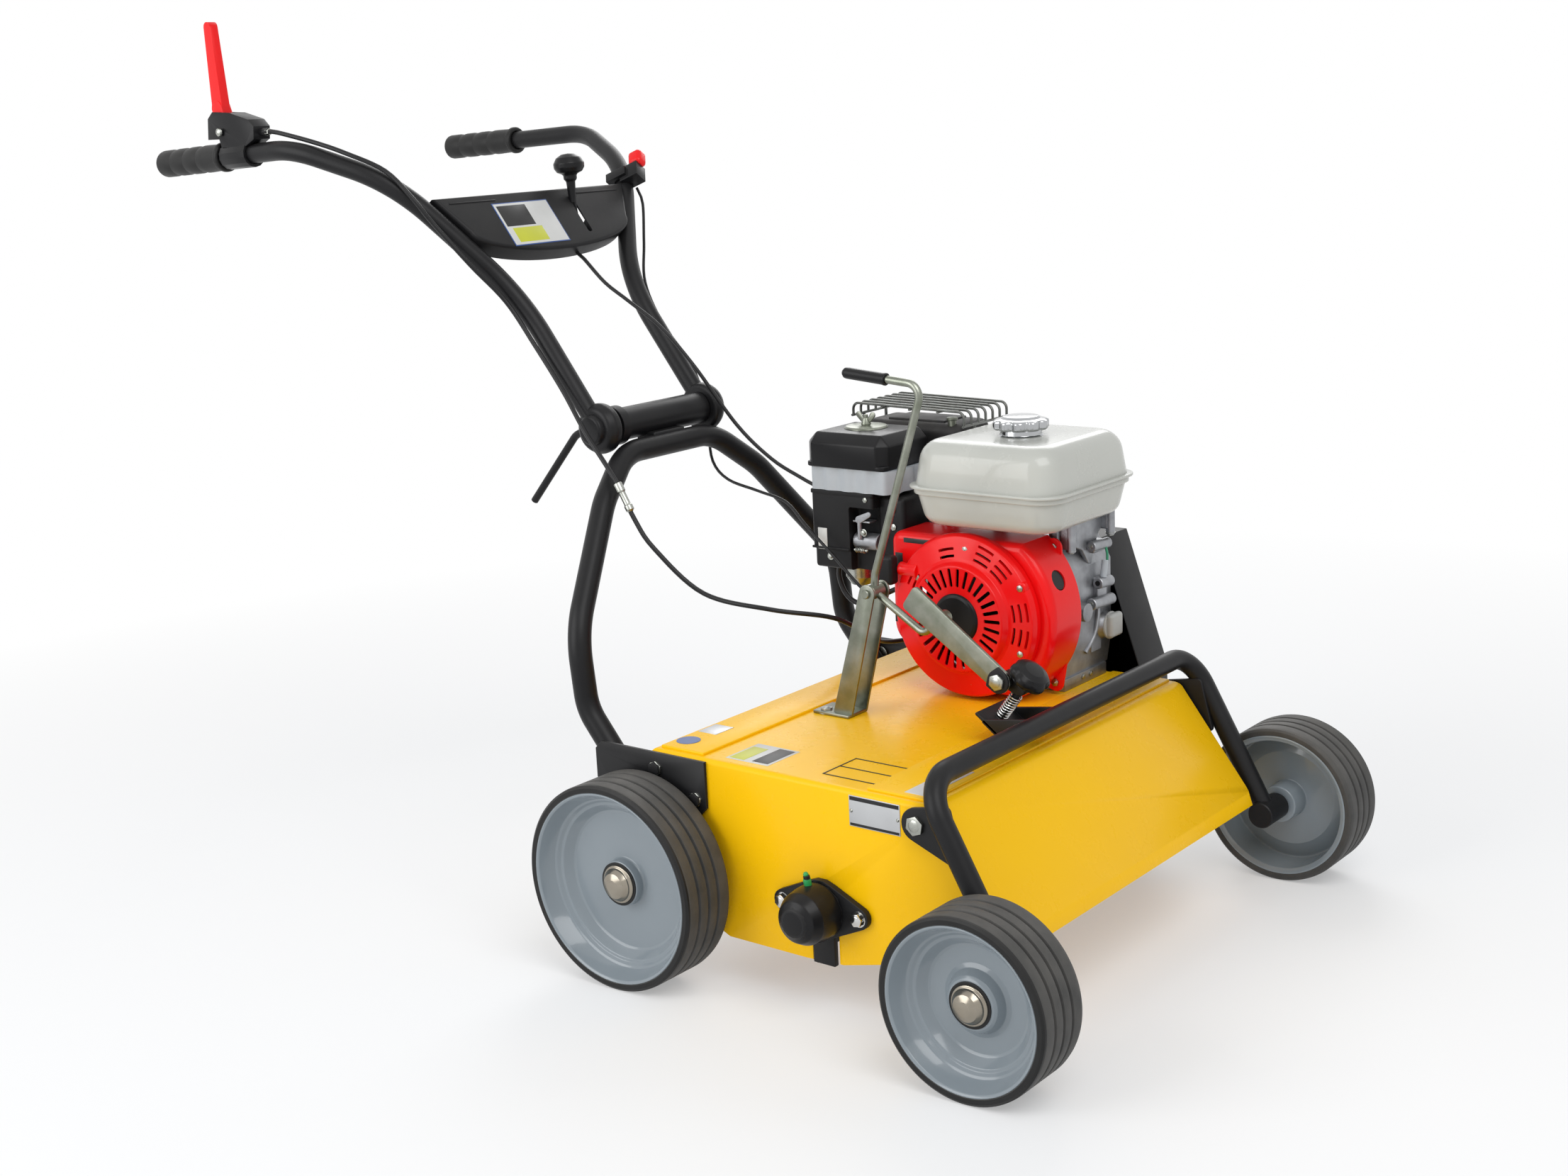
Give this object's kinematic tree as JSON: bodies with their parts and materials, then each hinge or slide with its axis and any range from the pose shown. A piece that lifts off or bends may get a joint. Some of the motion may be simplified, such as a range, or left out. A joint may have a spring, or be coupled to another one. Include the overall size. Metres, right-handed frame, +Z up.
{
  "type": "lawn scarifier",
  "caption": "Petrol lawn scarifier: sheet steel deck over a bladed rotor, ribbed wheels, a lever-lifted front axle and a clamped handlebar with its controls.",
  "frame": {"origin": "middle of the bounding box, on the ground", "axes": "+X forward, +Y to the operator's left, +Z up"},
  "size_m": [1.4303, 0.794, 1.1586],
  "materials": {
    "yellow_paint": "gloss",
    "black_paint": "satin",
    "red_enamel": "gloss",
    "cream_tank": "gloss",
    "white_plastic": "matt",
    "black_plastic": "satin",
    "muffler_black": "matt black",
    "red_plastic": "gloss",
    "rubber": "matt",
    "tyre_rubber": "matt",
    "wheel_grey": "gloss",
    "steel": "bright",
    "zinc_plate": "zinc plated",
    "chrome_cap": "polished",
    "cast_alloy": "as cast"
  },
  "bodies": {
    "machine": {"deck_housing": "yellow_paint", "rear_bracket_right": "black_paint", "rear_bracket_left": "black_paint", "rear_axle": "steel", "lower_arch": "black_paint", "cross_tube": "black_paint", "lever_bracket": "zinc_plate", "belt_guard": "black_paint", "bearing_housing_right": "black_paint", "bearing_housing_left": "black_paint", "crankcase": "cast_alloy", "fan_shroud": "red_enamel", "recoil_cover": "red_enamel", "starter_disc": "black_plastic", "fuel_tank": "cream_tank", "filter_cover": "black_plastic", "filter_band": "white_plastic", "carburettor": "black_plastic", "muffler": "muffler_black", "muffler_guard": "steel", "drive_belt": "rubber", "clutch_cable": "rubber", "throttle_cable": "rubber", "stop_wire": "rubber"},
    "rear_right_wheel": {"rear_right_tyre": "tyre_rubber", "rear_right_rim": "wheel_grey", "rear_right_hub_cap": "steel"},
    "rear_left_wheel": {"rear_left_tyre": "tyre_rubber", "rear_left_rim": "wheel_grey", "rear_left_hub_cap": "steel"},
    "front_right_wheel": {"front_right_tyre": "tyre_rubber", "front_right_rim": "wheel_grey", "front_right_hub_cap": "steel"},
    "front_left_wheel": {"front_left_tyre": "tyre_rubber", "front_left_rim": "wheel_grey", "front_left_hub_cap": "steel"},
    "rotor": {"rotor": "black_paint"},
    "crankshaft": {"crankshaft": "black_plastic"},
    "tension_arm": {"tension_arm": "zinc_plate"},
    "handlebar": {"handlebar_right": "black_paint", "handlebar_left": "black_paint", "grip_right": "rubber", "grip_left": "rubber", "console": "black_plastic", "lever_clamp": "black_plastic", "switch_body": "black_plastic"},
    "deadman_lever": {"deadman_lever": "red_plastic"},
    "throttle_lever": {"throttle_lever": "black_plastic"},
    "switch_knob": {"switch_knob": "red_plastic"},
    "clamp_rod": {"clamp_rod": "black_paint"},
    "front_axle": {"front_axle_frame": "black_paint", "depth_spring": "steel"},
    "depth_knob": {"depth_knob": "black_plastic"},
    "lift_lever": {"lift_lever": "zinc_plate", "lever_grip": "black_plastic"},
    "lift_link": {"lift_link": "zinc_plate"},
    "fuel_cap": {"fuel_cap": "chrome_cap"},
    "starter_grip": {"starter_grip": "black_plastic"}
  },
  "joints": [
    {"name": "rear_right_roll", "type": "hinge", "parent": "machine", "child": "rear_right_wheel", "pos_m": [0.10216, -0.3245, 0.12507], "axis": [0, 1, 0], "continuous": true},
    {"name": "rear_left_roll", "type": "hinge", "parent": "machine", "child": "rear_left_wheel", "pos_m": [0.10216, 0.3245, 0.12507], "axis": [0, 1, 0], "continuous": true},
    {"name": "front_right_roll", "type": "hinge", "parent": "front_axle", "child": "front_right_wheel", "pos_m": [0.61365, -0.3595, 0.09996], "axis": [0, 1, 0], "continuous": true},
    {"name": "front_left_roll", "type": "hinge", "parent": "front_axle", "child": "front_left_wheel", "pos_m": [0.61365, 0.3595, 0.09996], "axis": [0, 1, 0], "continuous": true},
    {"name": "rotor_spin", "type": "hinge", "parent": "machine", "child": "rotor", "pos_m": [0.35414, 0, 0.12088], "axis": [0, 1, 0], "continuous": true},
    {"name": "crank_spin", "type": "hinge", "parent": "machine", "child": "crankshaft", "pos_m": [0.32438, 0.2, 0.37483], "axis": [0, 1, 0], "continuous": true},
    {"name": "belt_tension", "type": "hinge", "parent": "machine", "child": "tension_arm", "pos_m": [0.25566, 0.2885, 0.24574], "axis": [0, 1, 0], "range_deg": [-7.1, 0.1]},
    {"name": "handlebar_tilt", "type": "hinge", "parent": "machine", "child": "handlebar", "pos_m": [-0.09782, 0, 0.61898], "axis": [0, 1, 0], "range_deg": [-10, 25], "deforming": ["clutch_cable", "throttle_cable", "stop_wire"]},
    {"name": "deadman_squeeze", "type": "hinge", "parent": "handlebar", "child": "deadman_lever", "pos_m": [-0.5606, -0.265, 1.01886], "axis": [0, 1, 0], "range_deg": [-70, 0], "stiffness_Nm_per_rad": 0.6, "springref_deg": 17.19},
    {"name": "throttle_turn", "type": "hinge", "parent": "handlebar", "child": "throttle_lever", "pos_m": [-0.26329, 0.06, 0.8504], "axis": [0, 1, 0], "range_deg": [0, 40]},
    {"name": "stop_switch", "type": "slide", "parent": "handlebar", "child": "switch_knob", "axis": [-0.0115, 0.808, -0.5891], "range_m": [-0.003, 0.003]},
    {"name": "clamp_turn", "type": "hinge", "parent": "machine", "child": "clamp_rod", "pos_m": [-0.09782, -0.075, 0.61898], "axis": [0, 1, 0], "range_deg": [-5, 60]},
    {"name": "axle_lift", "type": "hinge", "parent": "machine", "child": "front_axle", "pos_m": [0.49265, 0, 0.24197], "axis": [0, 1, 0], "range_deg": [-9, 3.6]},
    {"name": "lever_turn", "type": "hinge", "parent": "machine", "child": "lift_lever", "pos_m": [0.27785, -0.045, 0.42718], "axis": [0, 1, 0], "range_deg": [-15.1, 6.1]},
    {"name": "link_turn", "type": "hinge", "parent": "front_axle", "child": "lift_link", "pos_m": [0.46046, -0.06, 0.34093], "axis": [0, 1, 0], "range_deg": [-11.3, 28]},
    {"name": "depth_turn", "type": "hinge", "parent": "front_axle", "child": "depth_knob", "pos_m": [0.4877, -0.045, 0.34175], "axis": [0.6176, 0, 0.7865], "continuous": true},
    {"name": "cap_turn", "type": "hinge", "parent": "machine", "child": "fuel_cap", "pos_m": [0.36876, 0.151, 0.59765], "axis": [0.0285, 0, 0.9996], "continuous": true},
    {"name": "rope_pull", "type": "slide", "parent": "machine", "child": "starter_grip", "axis": [-0.9996, 0, 0.0285], "range_m": [0, 0.25], "stiffness_N_per_m": 30, "springref_m": -0.1}
  ],
  "couplings": [
    {"joint": "crank_spin", "follows": "rotor_spin", "ratio": 1.75},
    {"joint": "belt_tension", "follows": "deadman_squeeze", "ratio": 0.1},
    {"joint": "lever_turn", "follows": "axle_lift", "ratio": 1.6667},
    {"joint": "link_turn", "follows": "axle_lift", "ratio": -3.1}
  ]
}
